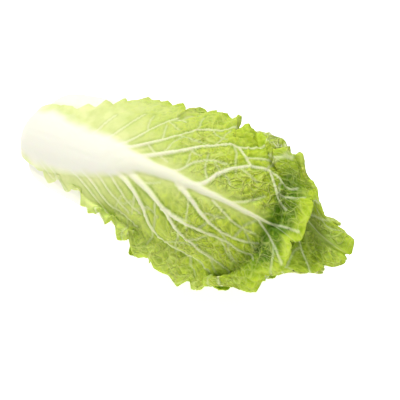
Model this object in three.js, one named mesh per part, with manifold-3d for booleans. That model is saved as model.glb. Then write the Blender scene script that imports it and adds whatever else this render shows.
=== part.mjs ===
// A napa cabbage, cut from its root and lying on its side. Millimetres, +Z up.
// X runs along the head, with the cut butt at -X and the leafy tip at +X. The outermost leaf turns its rib
// towards -Y and up, and the head rests on its underside at z = 0.
import * as THREE from "three";
import { ParametricGeometry } from "three/addons/geometries/ParametricGeometry.js";
import { mergeGeometries, mergeVertices } from "three/addons/utils/BufferGeometryUtils.js";
import Module from "manifold-3d";

// ---- driving dimensions of the head -------------------------------------------------------------------

// The head's meridian as [along X, radius] points, under all the wrapper leaves: three Bezier curves, of the
// clasping leaf bases, the belly and the closing tip.
const BASE_CURVE = [[-138, 17.5], [-138, 30], [-118, 34], [-90, 36.5]];
const BELLY_CURVE = [[-90, 36.5], [-45, 41], [-5, 50], [42, 50]];
const TIP_CURVE = [[42, 50], [88, 50], [112, 31], [156, 9]];

const AXIS_HEIGHT = 55; // of the head's axis above the ground at x = 0
const AXIS_SLOPE = 0.1; // the head lies on its belly and its butt, so its axis rises towards the tip
const SAGGING_END = [60, 170]; // x over which the loose leaf tips sag
const TIP_DROOP = 11; // how far they sag at the far end
const TIP_SWAY = 9; // how far they lean towards -Y there

const LAYER = 3; // from one leaf to the next one outside it, on the belly
const TIP_LAYER = 2.2; // the same where the leaves close at the tip
const LEAF_TURN = 144; // degrees from each leaf to the next one inwards
const FIRST_LEAF_ANGLE = 45; // degrees from straight up to the outermost leaf's rib, towards -Y

const STUMP_RADIUS = 16.6;
const STUMP_FRONT = -152; // x of the cut face
const STUMP_BACK = -136;
const STUMP_BEVEL = 1.2;
const STUMP_SIDES = 28;

// ---- driving dimensions of the wrapper leaves ---------------------------------------------------------

// Each wrapper leaf from the outermost inwards. reach: share of the meridian that it covers. width: of its
// blade at each side, along the head's skin. rib: how far its rib stands out. flare: how far its tip's rim
// turns outwards. twist: degrees that its tip leans round the head. skirt: how far its lower margin hangs
// away from the head. hollow: how deep it dips before its rim. waves and phase: of its margins.
const WRAPPER_LEAVES = [
  { reach: 0.9, width: 94, rib: 5, flare: 13, twist: 0, skirt: 11, hollow: 2.4, waves: 8, phase: 0.4 },
  { reach: 0.81, width: 86, rib: 4, flare: 5, twist: 0, skirt: 0, hollow: 0.7, waves: 7, phase: 2.3 },
  { reach: 0.99, width: 88, rib: 4, flare: 4, twist: 48, skirt: 0, hollow: 0.7, waves: 7, phase: 4.1 },
  { reach: 0.93, width: 84, rib: 5, flare: 2, twist: 0, skirt: 0, hollow: 0.7, waves: 7, phase: 5.7 },
  { reach: 0.92, width: 78, rib: 4, flare: 4, twist: 0, skirt: 0, hollow: 0.7, waves: 6, phase: 1.2 },
];
// Rows along each leaf and columns across it that its two sides are cut into.
const LEAF_GRIDS = [[40, 22], [32, 16], [37, 18], [33, 14], [31, 14]];

const BLADE = 1.2; // thickness of the green blade
const RIB_INSIDE = 1.3; // how much thicker the leaf is under its white rib
const BASE_WIDTH = 0.3; // of the blade at the leaf's base, as a share of its width
const TIP_WIDTH = 0.62; // the same at its tip
const TIP_ROUNDING = 0.16; // how much shorter the margins are than the rib
const CLASP = 0.39; // share of its turn round the head that the narrow base keeps
const CLASP_ANGLE = 30; // degrees at each side that the base takes in all the same
const RIB_WIDTH = [25, 2.2]; // half width of the rib, near the base and at the tip
const LEAST_WRAP_RADIUS = 33; // the widths are measured on the head's skin, or on this radius if it is less

const EDGE_WAVE = 9; // height of the waves of an uncovered margin
const PRESSED_WAVE = 1; // the same under another leaf
const RIDGE_ROWS = 9; // ridges along a leaf
const RIDGE_LEAN = 2.4; // ridges from the rib to the margin along one row
const PRESSED_RIDGE = 0.3; // share of a ridge's height that is left under another leaf
const SCALLOP = 2.2; // how far the lobes of the outline stand out

// Where features grow or fade, as shares of the way along the rib from the base, or across from the rib.
const BLADE_WIDENS = [0.02, 0.62];
const BLADE_NARROWS = [0.72, 1];
const RIB_TAPERS = [0.12, 0.75];
const RIB_FLATTENS = [0.2, 0.8];
const RIB_THINS = [0.35, 0.8];
const RIB_SIDE = [0.7, 1.15];
const MARGIN = [0.55, 1];
const WAVES_GROW = [0.2, 0.6];
const TIP_EDGE = [0.86, 1];
const RIM = [0.9, 1];
const HOLLOW_AT = [0.885, 0.04];
const SKIRT_AT = [0.64, 0.24];

// ---- driving dimensions of the heart ------------------------------------------------------------------

// The dense inner head: a core under the wrapper leaves, and the rolled tips of its leaves at the end.
const HEART = { reach: 0.955, depth: 3.2, leaves: 4, lean: 0.2, step: 1.6, rows: 22, columns: 32 };
const ROLL = { from: 119, to: 151, inside: 3, outside: 11, turns: 2.1, thickness: 1.2, rows: 5, columns: 46 };
const ROLL_WAVE = 2.4;
const ROLL_PEAK = 4; // how much further the middle of the roll stands out than its outside

const LEAF_GREEN = 0xb9d05a;
const INNER_GREEN = 0xd6e28a;
const STEM_WHITE = 0xf4f3e6;

// ---- small helpers ------------------------------------------------------------------------------------

const { lerp, clamp, degToRad, radToDeg, euclideanModulo } = THREE.MathUtils;
const FULL_TURN = 2 * Math.PI;

// A soft step from 0 to 1 while the value goes from one number to the other.
function ramp([from, to], value) {
  const t = clamp((value - from) / (to - from), 0, 1);
  return t * t * (3 - 2 * t);
}

const bump = ([middle, spread], value) => Math.exp(-(((value - middle) / spread) ** 2));
const halfRound = (share) => Math.sqrt(Math.max(0, 1 - share ** 2));

// ---- the head's meridian ------------------------------------------------------------------------------

const meridian = new THREE.CurvePath();
for (const points of [BASE_CURVE, BELLY_CURVE, TIP_CURVE])
  meridian.add(new THREE.CubicBezierCurve(...points.map(([x, r]) => new THREE.Vector2(x, r))));

// The point of the meridian at a share s of its length, raised by h square to it.
function onMeridian(s, h) {
  const share = clamp(s, 0, 1);
  const at = meridian.getPointAt(share);
  const along = meridian.getTangentAt(share);
  return { x: at.x - along.y * h, radius: at.y + along.x * h };
}

// The point at x, a radius from the head's axis and an angle round it, 0 being up and 90 degrees -Y.
function roundTheAxis(x, radius, angle, target) {
  const sag = ramp(SAGGING_END, x);
  const turn = degToRad(angle);
  const z = AXIS_HEIGHT + AXIS_SLOPE * x - TIP_DROOP * sag + radius * Math.cos(turn);
  return target.set(x, -radius * Math.sin(turn) - TIP_SWAY * sag, z);
}

// The level of a leaf's outer side above the meridian, counted in layers from the innermost wrapper leaf.
const layerHeight = (index, s) =>
  (WRAPPER_LEAVES.length - 1 - index) * lerp(LAYER, TIP_LAYER, ramp([0.72, 0.9], s));

// Degrees from straight up to a leaf's rib, at a share a of the rib's length.
const ribAngle = (index, a) =>
  FIRST_LEAF_ANGLE + LEAF_TURN * index + WRAPPER_LEAVES[index].twist * ramp([0.6, 1], a);

// The radius on which distances across a leaf are measured.
const wrapRadius = (index, s) =>
  Math.max(onMeridian(s, 0).radius, LEAST_WRAP_RADIUS) + layerHeight(index, s);

// ---- the outline of a leaf ----------------------------------------------------------------------------

// a runs along the rib from the base, 0, to the tip, 1. b runs across from margin to margin, -1 to 1.
const bladeShare = (a) =>
  lerp(BASE_WIDTH, 1, ramp(BLADE_WIDENS, a)) * lerp(1, TIP_WIDTH, ramp(BLADE_NARROWS, a));
const halfWidth = (leaf, a) => leaf.width * bladeShare(a);
const ribHalfWidth = (a) => lerp(...RIB_WIDTH, ramp(RIB_TAPERS, a)) * lerp(0.5, 1, ramp([0, 0.1], a));
const rowShare = (leaf, a, b) => leaf.reach * a * (1 - TIP_ROUNDING * b * b * ramp([0.55, 1], a));

// How much of the point at share s and angle the outer leaves hide: 0 is open, 1 is covered.
function cover(index, s, angle) {
  let covered = 0;
  WRAPPER_LEAVES.slice(0, index).forEach((outer, j) => {
    const a = s / outer.reach;
    const turn = euclideanModulo(angle - ribAngle(j, a) + 180, 360) - 180;
    const across = Math.abs(degToRad(turn)) * wrapRadius(j, s);
    const inside = halfWidth(outer, Math.min(a, 1)) - across;
    covered = Math.max(covered, ramp([-4, 10], inside) * (1 - ramp([0.98, 1.08], a)));
  });
  return covered;
}

// ---- the relief of a leaf -----------------------------------------------------------------------------

// Waves along both margins and round the tip, from 0 (against the head) to 1 (standing out).
function ruffle(leaf, a, b) {
  const side = Math.sign(b);
  const along = a + 0.06 * Math.sin(9 * a + leaf.phase);
  const sideWave = Math.sin(FULL_TURN * leaf.waves * along + leaf.phase + 1.9 * side);
  const fineWave = Math.sin(FULL_TURN * leaf.waves * 2.3 * a - leaf.phase + side);
  const tipWave = Math.sin(11 * b + leaf.phase) * ramp([0.8, 1], a);
  return 0.5 + 0.3 * sideWave * (1 - 0.5 * ramp([0.85, 1], a)) + 0.1 * fineWave + 0.25 * tipWave;
}

// Shallow ridges that leave the rib and lean towards the tip, under the side veins.
function ridges(leaf, a, b) {
  const away = Math.abs(b);
  const ridge = Math.cos(FULL_TURN * (RIDGE_ROWS * a - RIDGE_LEAN * away) + leaf.phase);
  return ridge * ramp([0.05, 0.4], away) * ramp([0.2, 0.45], a) * (1 - ramp([0.85, 1], a));
}

// How high a leaf's outer side is above the meridian.
function leafHeight(index, a, b, s, angle) {
  const leaf = WRAPPER_LEAVES[index];
  const open = 1 - cover(index, s, angle);
  const across = Math.abs(b) * halfWidth(leaf, a);
  const arch = halfRound(across / ribHalfWidth(a)) * ramp([0, 0.09], a);
  const rib = leaf.rib * arch * lerp(1, 0.35, ramp(RIB_FLATTENS, a));
  const margin = Math.max(ramp(MARGIN, Math.abs(b)) * ramp([0.06, 0.35], a), ramp(TIP_EDGE, a));
  const waveHeight = lerp(PRESSED_WAVE, EDGE_WAVE, open) * lerp(0.4, 1, ramp(WAVES_GROW, a));
  const hollow = leaf.hollow * bump(HOLLOW_AT, a) * ramp([0, 0.5], open);
  const flare = leaf.flare * ramp(RIM, a) ** 1.4 * open;
  const skirt = leaf.skirt * ramp([0.6, 1], b) * bump(SKIRT_AT, a);
  const veins = ridges(leaf, a, b) * lerp(PRESSED_RIDGE, 1, open);
  const waves = margin * ruffle(leaf, a, b) * waveHeight;
  return layerHeight(index, s) + rib + waves + flare + skirt + veins - hollow;
}

function leafThickness(leaf, a, b) {
  const across = Math.abs(b) * halfWidth(leaf, a);
  const fleshy = 1 - ramp(RIB_SIDE, across / ribHalfWidth(a));
  return BLADE + RIB_INSIDE * fleshy * (1 - ramp(RIB_THINS, a));
}

// A point of a leaf's outer (0) or inner (1) side, no lower than the ground.
function leafPoint(index, a, b, inner, target) {
  const leaf = WRAPPER_LEAVES[index];
  const s = rowShare(leaf, a, b);
  const lobe = Math.sin(FULL_TURN * leaf.waves * 1.5 * a + leaf.phase);
  const scallop = SCALLOP * lobe * ramp([0.75, 1], Math.abs(b)) * ramp([0.1, 0.4], a);
  const across = b * halfWidth(leaf, a) + Math.sign(b) * scallop;
  const turn = radToDeg(across / wrapRadius(index, s));
  const clasp = lerp(CLASP, 1, ramp([0, 0.16], a));
  const angle = ribAngle(index, a) + turn * clasp + (1 - clasp) * b * CLASP_ANGLE;
  const depth = inner * leafThickness(leaf, a, b);
  const { x, radius } = onMeridian(s, leafHeight(index, a, b, s, angle) - depth);
  roundTheAxis(x, radius, angle, target);
  target.z = Math.max(target.z, depth);
}

// ---- closed bodies ------------------------------------------------------------------------------------

function turnedInsideOut(geometry) {
  const index = geometry.index.array;
  for (let i = 0; i < index.length; i += 3) [index[i + 1], index[i + 2]] = [index[i + 2], index[i + 1]];
  return geometry;
}

function closedBody(sheets) {
  for (const sheet of sheets) {
    sheet.deleteAttribute("normal");
    sheet.deleteAttribute("uv");
  }
  return mergeVertices(mergeGeometries(sheets), 1e-3);
}

// A closed sheet with two sides. pointOf(u, v, inner, target) gives a point of its outer (0) or inner (1)
// side. Both sides are cut into the same triangles, and a strip round the edge joins them.
function slab(pointOf, columns, rows) {
  const side = (inner) =>
    new ParametricGeometry((u, v, target) => pointOf(u, v, inner, target), columns, rows);
  const loop = [];
  for (let i = 0; i < rows; i++) loop.push([0, i / rows]);
  for (let i = 0; i < columns; i++) loop.push([i / columns, 1]);
  for (let i = 0; i < rows; i++) loop.push([1, 1 - i / rows]);
  for (let i = 0; i < columns; i++) loop.push([1 - i / columns, 0]);
  const rim = new ParametricGeometry((u, v, target) => {
    const [across, along] = loop[Math.round(u * loop.length) % loop.length];
    pointOf(across, along, Math.round(v), target);
  }, loop.length, 1);
  return closedBody([turnedInsideOut(side(0)), side(1), turnedInsideOut(rim)]);
}

const leafGeometry = (index) =>
  slab((u, v, inner, target) => leafPoint(index, u, 2 * v - 1, inner, target), ...LEAF_GRIDS[index]);

// The closed skin of the heart's core.
function coreGeometry() {
  return closedBody([new ParametricGeometry((u, v, target) => {
    const ends = Math.sqrt(ramp([0, 0.05], v) * (1 - ramp([0.97, 1], v)));
    const overlap = euclideanModulo(HEART.leaves * (u + HEART.lean * v), 1); // across each leaf of the heart
    const { x, radius } = onMeridian(HEART.reach * v, -HEART.depth - HEART.step * overlap * ends);
    roundTheAxis(x, radius * ends, 360 * (u % 1), target);
  }, HEART.columns, HEART.rows)]);
}

// A point of the rolled leaf tips: u runs round the roll, v from its root in the core to its waved rim.
function rollPoint(u, v, inner, target) {
  const turn = FULL_TURN * ROLL.turns * u;
  const wave = Math.sin(3.4 * turn) + 0.5 * Math.sin(7.3 * turn + 1);
  const x = lerp(ROLL.from, ROLL.to + ROLL_WAVE * wave + ROLL_PEAK * (1 - u), v);
  const radius = lerp(ROLL.inside, ROLL.outside, u) + 0.45 * wave * v - inner * ROLL.thickness;
  roundTheAxis(x, radius, radToDeg(turn), target);
}

async function heartGeometry() {
  const wasm = await Module();
  wasm.setup();
  const solid = (geometry) => new wasm.Manifold(new wasm.Mesh({
    numProp: 3,
    vertProperties: geometry.attributes.position.array,
    triVerts: new Uint32Array(geometry.index.array),
  }));
  const joined = solid(coreGeometry()).add(solid(slab(rollPoint, ROLL.columns, ROLL.rows))).getMesh();
  return new THREE.BufferGeometry()
    .setAttribute("position", new THREE.BufferAttribute(joined.vertProperties, 3))
    .setIndex(new THREE.BufferAttribute(joined.triVerts, 1));
}

function stumpGeometry() {
  const profile = [
    new THREE.Vector2(0, STUMP_FRONT),
    new THREE.Vector2(STUMP_RADIUS - STUMP_BEVEL, STUMP_FRONT),
    new THREE.Vector2(STUMP_RADIUS, STUMP_FRONT + STUMP_BEVEL),
    new THREE.Vector2(STUMP_RADIUS, STUMP_BACK),
    new THREE.Vector2(0, STUMP_BACK),
  ];
  const lathe = new THREE.LatheGeometry(profile, STUMP_SIDES);
  lathe.rotateZ(-Math.PI / 2).applyMatrix4(new THREE.Matrix4().makeShear(0, AXIS_SLOPE, 0, 0, 0, 0));
  return closedBody([lathe]);
}

// ---- the scene ----------------------------------------------------------------------------------------

function piece(name, geometry, colour, roughness) {
  const material = new THREE.MeshStandardMaterial({ color: colour, roughness, metalness: 0 });
  const mesh = new THREE.Mesh(geometry, material);
  mesh.name = name;
  return mesh;
}

const cabbage = new THREE.Group();

WRAPPER_LEAVES.forEach((leaf, index) =>
  cabbage.add(piece(`wrapper_leaf_${index + 1}`, leafGeometry(index), LEAF_GREEN, 0.5)));

cabbage.add(piece("heart", await heartGeometry(), INNER_GREEN, 0.5));

const stump = piece("stem_stump", stumpGeometry(), STEM_WHITE, 0.6);
stump.position.z = AXIS_HEIGHT;
cabbage.add(stump);

// The origin is on the ground, midway along and across the whole cabbage.
const middle = new THREE.Box3().setFromObject(cabbage, true).getCenter(new THREE.Vector3());
cabbage.position.set(-middle.x, -middle.y, 0);

export default cabbage;
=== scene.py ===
"""A napa cabbage on its side: waved wrapper leaves with cream ribs and raised veins round a packed heart.

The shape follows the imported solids: each leaf is laid on the same meridian, from the same dimensions, and the
veins, blisters and frilled margins are added on top. Lengths are in millimetres up to the mesh, which is in
metres.
"""
import math
from types import SimpleNamespace as Sizes  # named sizes and shares that belong together

import bpy
import numpy as np
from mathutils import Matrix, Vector


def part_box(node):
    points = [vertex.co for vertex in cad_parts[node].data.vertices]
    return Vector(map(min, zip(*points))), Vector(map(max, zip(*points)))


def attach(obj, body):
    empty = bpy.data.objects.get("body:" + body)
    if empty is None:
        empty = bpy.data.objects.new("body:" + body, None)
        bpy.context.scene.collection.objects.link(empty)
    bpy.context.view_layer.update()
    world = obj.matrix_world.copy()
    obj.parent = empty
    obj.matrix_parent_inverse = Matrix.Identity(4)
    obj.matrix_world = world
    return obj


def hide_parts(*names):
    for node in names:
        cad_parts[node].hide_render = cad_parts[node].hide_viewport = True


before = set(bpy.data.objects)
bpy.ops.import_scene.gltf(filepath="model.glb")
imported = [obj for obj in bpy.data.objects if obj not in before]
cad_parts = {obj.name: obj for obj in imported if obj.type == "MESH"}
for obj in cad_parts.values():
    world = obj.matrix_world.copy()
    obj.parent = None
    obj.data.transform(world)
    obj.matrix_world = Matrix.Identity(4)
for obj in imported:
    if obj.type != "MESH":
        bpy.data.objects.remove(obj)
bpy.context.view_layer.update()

MM = 0.001
SEED = 7
# What each random pattern adds to the seed.
PATTERN_SEEDS = dict(
    veins=0, ripple=0, scallops=3, tip_scallops=30, warp_along=40, warp_over=41, jitter=42, creases=44,
    wrinkles=45, swells=46, fine_swells=47, net=50, fine_net=60, strings=70, uneven=72, speckle=80, roll=90,
    roll_net=91, cut_rough=95, cut_grain=96, lobes=100,
)

# ---- the head's form ------------------------------------------------------------------------------------

BASE_CURVE = [(-138, 17.5), (-138, 30), (-118, 34), (-90, 36.5)]  # [x, radius] of the leaf bases
BELLY_CURVE = [(-90, 36.5), (-45, 41), (-5, 50), (42, 50)]
TIP_CURVE = [(42, 50), (88, 50), (112, 31), (156, 9)]
CURVE_STEPS = 300
DIRECTION_STEP = 0.5  # the meridian's direction is taken over this distance to both sides
AXIS_HEIGHT = 55  # of the head's axis over the table, at its middle
AXIS_SLOPE = 0.1
SAGGING_END = (60, 170)  # where the end of the head begins to hang and lean, and where it does in full
TIP_DROOP = 11
TIP_SWAY = 9
LAYER = 3  # from one leaf's level to the next, over the belly and over the tip
TIP_LAYER = 2.2
TIP_LAYER_FROM = (0.72, 0.9)  # shares of the meridian
LEAF_TURN = 144  # degrees round the axis from one leaf to the next
FIRST_LEAF_ANGLE = 45
STUMP_RADIUS = 16.6
STUMP_FRONT = -152

# Each leaf: the share of the meridian that it reaches, its half width, its rib's height, how far its end
# flares and is turned (twist, in degrees), how far its lower margin stands off (skirt), its waves and their
# phase. Then, where it differs: how much of its margin at the smaller angles is tucked in under the head, how
# steeply its end falls back on that side (slope), and how far its end is cut short.
WRAPPER_LEAVES = [
    dict(reach=0.9, width=94, rib=5, flare=13, twist=0, skirt=7, waves=8, phase=0.4),
    dict(reach=0.81, width=86, rib=4, flare=5, twist=0, skirt=0, waves=7, phase=2.3, tuck=0.57, short=17),
    dict(reach=0.99, width=88, rib=4, flare=4, twist=48, skirt=0, waves=7, phase=4.1, short=-8, slope=0.42),
    dict(reach=0.93, width=84, rib=5, flare=2, twist=0, skirt=0, waves=7, phase=5.7, short=36),
    dict(reach=0.92, width=78, rib=4, flare=4, twist=0, skirt=0, waves=6, phase=1.2, short=4),
]
LEAF_GRIDS = [(270, 160), (190, 120), (210, 130), (190, 120), (180, 110)]  # cells along and across each leaf

# the valley before the outermost leaf's upturned rim, where it sinks in with the leaves under it
VALLEY_AT = (113, 10)  # along the head, and its half width
VALLEY_MIDDLE = (-8, 55)  # in degrees from the outermost leaf's rib
VALLEY_BEND = 19  # how much nearer to the base its ends are
VALLEY_DEPTH = 12
VALLEY_REACH = (-16, 46)  # its deepest place and how far it goes to both sides, in degrees
VALLEY_LAYERS = 9  # it fades out over this many leaves inwards

# the ends of the inner leaves, which close over the top of the heart
HEART_LEAVES = [
    dict(reach=0.985, width=64, rib=2.5, flare=5, twist=10, skirt=0, waves=8, phase=3.1, short=5),
    dict(reach=0.96, width=58, rib=2, flare=5, twist=-14, skirt=0, waves=7, phase=0.9, short=4),
    dict(reach=0.985, width=54, rib=2, flare=4, twist=8, skirt=0, waves=8, phase=5.2, short=6),
    dict(reach=0.965, width=50, rib=2, flare=3, twist=0, skirt=0, waves=7, phase=1.7, short=5),
]
HEART_LAYER = 0.8
HEART_LEAF_START = 0.6  # share of its length from which an inner leaf is made
HEART_LEAF_GRID = (76, 96)
LEAVES = WRAPPER_LEAVES + HEART_LEAVES

# Pairs of shares along a leaf, 0 at its base and 1 at its tip, tell where something begins and is complete.
BASE_WIDTH = 0.3  # of a blade, as a share of its greatest width
TIP_WIDTH = 0.62
BLADE_WIDENS = (0.02, 0.62)
BLADE_NARROWS = (0.72, 1)
TIP_ROUNDING = 0.16  # how far the sides of a leaf's end fall back behind its middle
TIP_ROUNDS = (0.55, 1)
TWIST_COMES = (0.6, 1)
CLASP = 0.39  # how far a base goes round the stem, as a share of what its width would give
CLASP_ANGLE = 30
CLASP_OPENS = (0, 0.16)
RIB_WIDTH = (25, 2.2)  # its half width over the base and at the tip
RIB_NARROWS = (0.12, 0.75)
BASE_RIB = 0.5
BASE_RIB_WIDENS = (0, 0.1)
LEAST_WRAP_RADIUS = 33
COVER_EDGE = (-4, 10)  # how far in from the edge of an outer leaf another one is hidden
COVER_END = (0.98, 1.08)

# the rib, the margins and their waves, as the solids have them
RIB_SPREAD = 1.2  # the rib's arch is this much wider than the rib
RIB_SHARPNESS = 1.1
RIB_RISES = (0, 0.09)
RIB_END_HEIGHT = 0.35
RIB_FALLS = (0.2, 0.8)
MARGIN_BAND = (0.55, 1)  # shares of the half width
MARGIN_STARTS = (0.06, 0.35)
TIP_BAND = (0.86, 1)
EDGE_WAVE = 9
PRESSED_WAVE = 1
BASE_WAVE = 0.4
WAVES_GROW = (0.2, 0.6)
FLARE_FROM = (0.9, 1)
FLARE_BEND = 1.4
SKIRT_BAND = (0.6, 1)
SKIRT_AT = (0.64, 0.24)
BASE_LEVEL = 0.35
BASE_LEVEL_RISES = (0, 0.08)
WAVE_SHARES = Sizes(middle=0.5, side=0.3, fine=0.1, tip=0.25)
WAVE_DRIFT = (0.06, 9)  # how unevenly long the side waves are, and in how many radians over the leaf
SIDE_SHIFT = 1.9  # radians from one margin's waves to the other's
FINE_WAVES = 2.3  # to one side wave
TIP_WAVES = 11  # radians over the half width
TIP_WAVES_COME = (0.8, 1)
SIDE_WAVES_FALL = (0.85, 1)

# ---- small helpers --------------------------------------------------------------------------------------


def ramp(between, value):
    """A soft step from 0 to 1 while the value goes from one number to the other."""
    t = np.clip((value - between[0]) / (between[1] - between[0]), 0, 1)
    return t * t * (3 - 2 * t)


def bump(at, value):
    """A hill of height 1, given by its place and its half width."""
    return np.exp(-(((value - at[0]) / at[1]) ** 2))


def soft_limit(value, start, most):
    """The value below the start, and beyond it one that comes near the most but never passes it."""
    return np.where(value < start, value, start + (most - start) * np.tanh((value - start) / (most - start)))


def lerp(a, b, t):
    return a + (b - a) * t


def seed_for(pattern, index=0):
    """The seed of a random pattern on a leaf."""
    return SEED + PATTERN_SEEDS[pattern] + index


# ---- the head's meridian --------------------------------------------------------------------------------


def bezier(points, t):
    p = np.array(points, float)
    t = t[:, None]
    return (1 - t) ** 3 * p[0] + 3 * (1 - t) ** 2 * t * p[1] + 3 * (1 - t) * t * t * p[2] + t ** 3 * p[3]


_curve = np.concatenate([bezier(c, np.linspace(0, 1, CURVE_STEPS))[i > 0:] for i, c in
                         enumerate((BASE_CURVE, BELLY_CURVE, TIP_CURVE))])
_run = np.concatenate([[0], np.cumsum(np.hypot(*np.diff(_curve, axis=0).T))])
MERIDIAN = _run[-1]  # its length in millimetres


def on_meridian(share, height):
    """The [x, radius] point at a share of the meridian's length, raised by a height square to it."""
    run = np.clip(share, 0, 1) * MERIDIAN
    x, radius = np.interp(run, _run, _curve[:, 0]), np.interp(run, _run, _curve[:, 1])
    ahead, behind = np.minimum(run + DIRECTION_STEP, MERIDIAN), np.maximum(run - DIRECTION_STEP, 0)
    dx = np.interp(ahead, _run, _curve[:, 0]) - np.interp(behind, _run, _curve[:, 0])
    dr = np.interp(ahead, _run, _curve[:, 1]) - np.interp(behind, _run, _curve[:, 1])
    size = np.hypot(dx, dr)
    beyond = np.maximum(share - 1, 0) * MERIDIAN  # a leaf that is longer than the meridian goes straight on
    return x + (dx * beyond - dr * height) / size, radius + (dr * beyond + dx * height) / size


stump_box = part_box("stem_stump")
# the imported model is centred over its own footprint, which moves the head's axis by this much
CENTRING = np.array([
    stump_box[0][0] / MM - STUMP_FRONT,
    (stump_box[0][1] + stump_box[1][1]) / 2 / MM,
    0.0,
])


def round_the_axis(x, radius, angle):
    """Points at x, a radius from the head's axis and an angle round it: 0 is up and 90 degrees is -Y."""
    sag = ramp(SAGGING_END, x)
    turn = np.radians(angle)
    z = AXIS_HEIGHT + AXIS_SLOPE * x - TIP_DROOP * sag + radius * np.cos(turn)
    return np.stack([x, -radius * np.sin(turn) - TIP_SWAY * sag, z], -1) + CENTRING


def layer_height(index, share):
    """The level of a leaf's outer side above the meridian: the inner leaves lie closer together, below it."""
    inwards = len(WRAPPER_LEAVES) - 1 - index
    return inwards * (lerp(LAYER, TIP_LAYER, ramp(TIP_LAYER_FROM, share)) if inwards >= 0 else HEART_LAYER)


def rib_angle(index, a):
    return FIRST_LEAF_ANGLE + LEAF_TURN * index + LEAVES[index]["twist"] * ramp(TWIST_COMES, a)


def wrap_radius(index, share):
    return np.maximum(on_meridian(share, 0)[1], LEAST_WRAP_RADIUS) + layer_height(index, share)


def blade_share(a):
    """A blade's width along its leaf, as a share of the greatest."""
    return lerp(BASE_WIDTH, 1, ramp(BLADE_WIDENS, a)) * lerp(1, TIP_WIDTH, ramp(BLADE_NARROWS, a))


def rib_half_width(a):
    return lerp(*RIB_WIDTH, ramp(RIB_NARROWS, a)) * lerp(BASE_RIB, 1, ramp(BASE_RIB_WIDENS, a))


def from_angle(angle, middle):
    """How far an angle is from another one, from -180 to 180 degrees."""
    return (angle - middle + 180) % 360 - 180


def valley(share, angle, widen=1.0):
    """How much of each point lies in the valley before the outermost leaf's rim, from 0 to 1."""
    turned = from_angle(angle, FIRST_LEAF_ANGLE)
    middle = VALLEY_AT[0] - VALLEY_BEND * ((turned - VALLEY_MIDDLE[0]) / VALLEY_MIDDLE[1]) ** 2
    return bump((middle, VALLEY_AT[1] * widen), on_meridian(share, 0)[0]) * bump(VALLEY_REACH, turned)


def cover(index, share, angle):
    """How much of each point the leaves outside this one hide: 0 is open, 1 is covered."""
    covered = np.zeros_like(share)
    for j, outer in enumerate(LEAVES[:index]):
        a = share / outer["reach"]
        across = np.abs(np.radians(from_angle(angle, rib_angle(j, a)))) * wrap_radius(j, share)
        inside = outer["width"] * blade_share(np.minimum(a, 1)) - across
        covered = np.maximum(covered, ramp(COVER_EDGE, inside) * (1 - ramp(COVER_END, a)))
    return covered


def ruffle(leaf, a, b):
    """Waves along both margins and round the tip, from 0 (against the head) to 1 (standing out)."""
    side = np.sign(b)
    along = a + WAVE_DRIFT[0] * np.sin(WAVE_DRIFT[1] * a + leaf["phase"])
    side_wave = np.sin(2 * np.pi * leaf["waves"] * along + leaf["phase"] + SIDE_SHIFT * side)
    fine_wave = np.sin(2 * np.pi * leaf["waves"] * FINE_WAVES * a - leaf["phase"] + side)
    tip_wave = np.sin(TIP_WAVES * b + leaf["phase"]) * ramp(TIP_WAVES_COME, a)
    at_sides = WAVE_SHARES.middle + WAVE_SHARES.side * side_wave * (1 - 0.5 * ramp(SIDE_WAVES_FALL, a))
    return at_sides + WAVE_SHARES.fine * fine_wave + WAVE_SHARES.tip * tip_wave


def solid_height(index, share, angle, a, b, arch, open_):
    """How high a leaf's outer side lies over the meridian, as the solid has it."""
    leaf = LEAVES[index]
    rib = leaf["rib"] * arch * lerp(1, RIB_END_HEIGHT, ramp(RIB_FALLS, a))
    margin = np.maximum(ramp(MARGIN_BAND, np.abs(b)) * ramp(MARGIN_STARTS, a), ramp(TIP_BAND, a))
    wave_height = lerp(PRESSED_WAVE, EDGE_WAVE, open_) * lerp(BASE_WAVE, 1, ramp(WAVES_GROW, a))
    hollow = VALLEY_DEPTH * valley(share, angle) * (1 - index / VALLEY_LAYERS)
    flare = leaf["flare"] * ramp(FLARE_FROM, a) ** FLARE_BEND * open_
    skirt = leaf["skirt"] * ramp(SKIRT_BAND, b) * bump(SKIRT_AT, a)
    # the bases lie close round the stem
    level = layer_height(index, share) * lerp(BASE_LEVEL, 1, ramp(BASE_LEVEL_RISES, a))
    return level + rib + margin * ruffle(leaf, a, b) * wave_height + flare + skirt - hollow


# ---- patterns -------------------------------------------------------------------------------------------

TABLE_SIZE = 64  # a random table is repeated after this many cells
NO_BORDER = 9.0


def on_table(table, i, j):
    return table[i % TABLE_SIZE, j % TABLE_SIZE]


def cells(along, across, size, seed):
    """The distance from each point to the border of its cell, in a pattern of uneven cells."""
    table = np.random.default_rng(seed).random((TABLE_SIZE, TABLE_SIZE, 3))  # the third number is not used
    u, v = along / size, across / size
    iu, iv = np.floor(u).astype(int), np.floor(v).astype(int)
    spots = []
    for du in (-1, 0, 1):
        for dv in (-1, 0, 1):
            jitter = on_table(table, iu + du, iv + dv)
            spots.append(np.stack([iu + du + jitter[..., 0], iv + dv + jitter[..., 1]], -1))
    spots = np.stack(spots)
    square = (spots[..., 0] - u) ** 2 + (spots[..., 1] - v) ** 2
    order = np.argsort(square, axis=0)[:3]
    spot = [np.take_along_axis(spots, order[k][None, ..., None].repeat(2, -1), 0)[0] for k in range(3)]
    reach = [np.take_along_axis(square, order[k][None], 0)[0] for k in range(3)]
    border = np.full(along.shape, NO_BORDER)
    for k in (1, 2):
        gap = np.hypot(spot[k][..., 0] - spot[0][..., 0], spot[k][..., 1] - spot[0][..., 1])
        border = np.minimum(border, (reach[k] - reach[0]) / (2 * gap))
    return border * size


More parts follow.
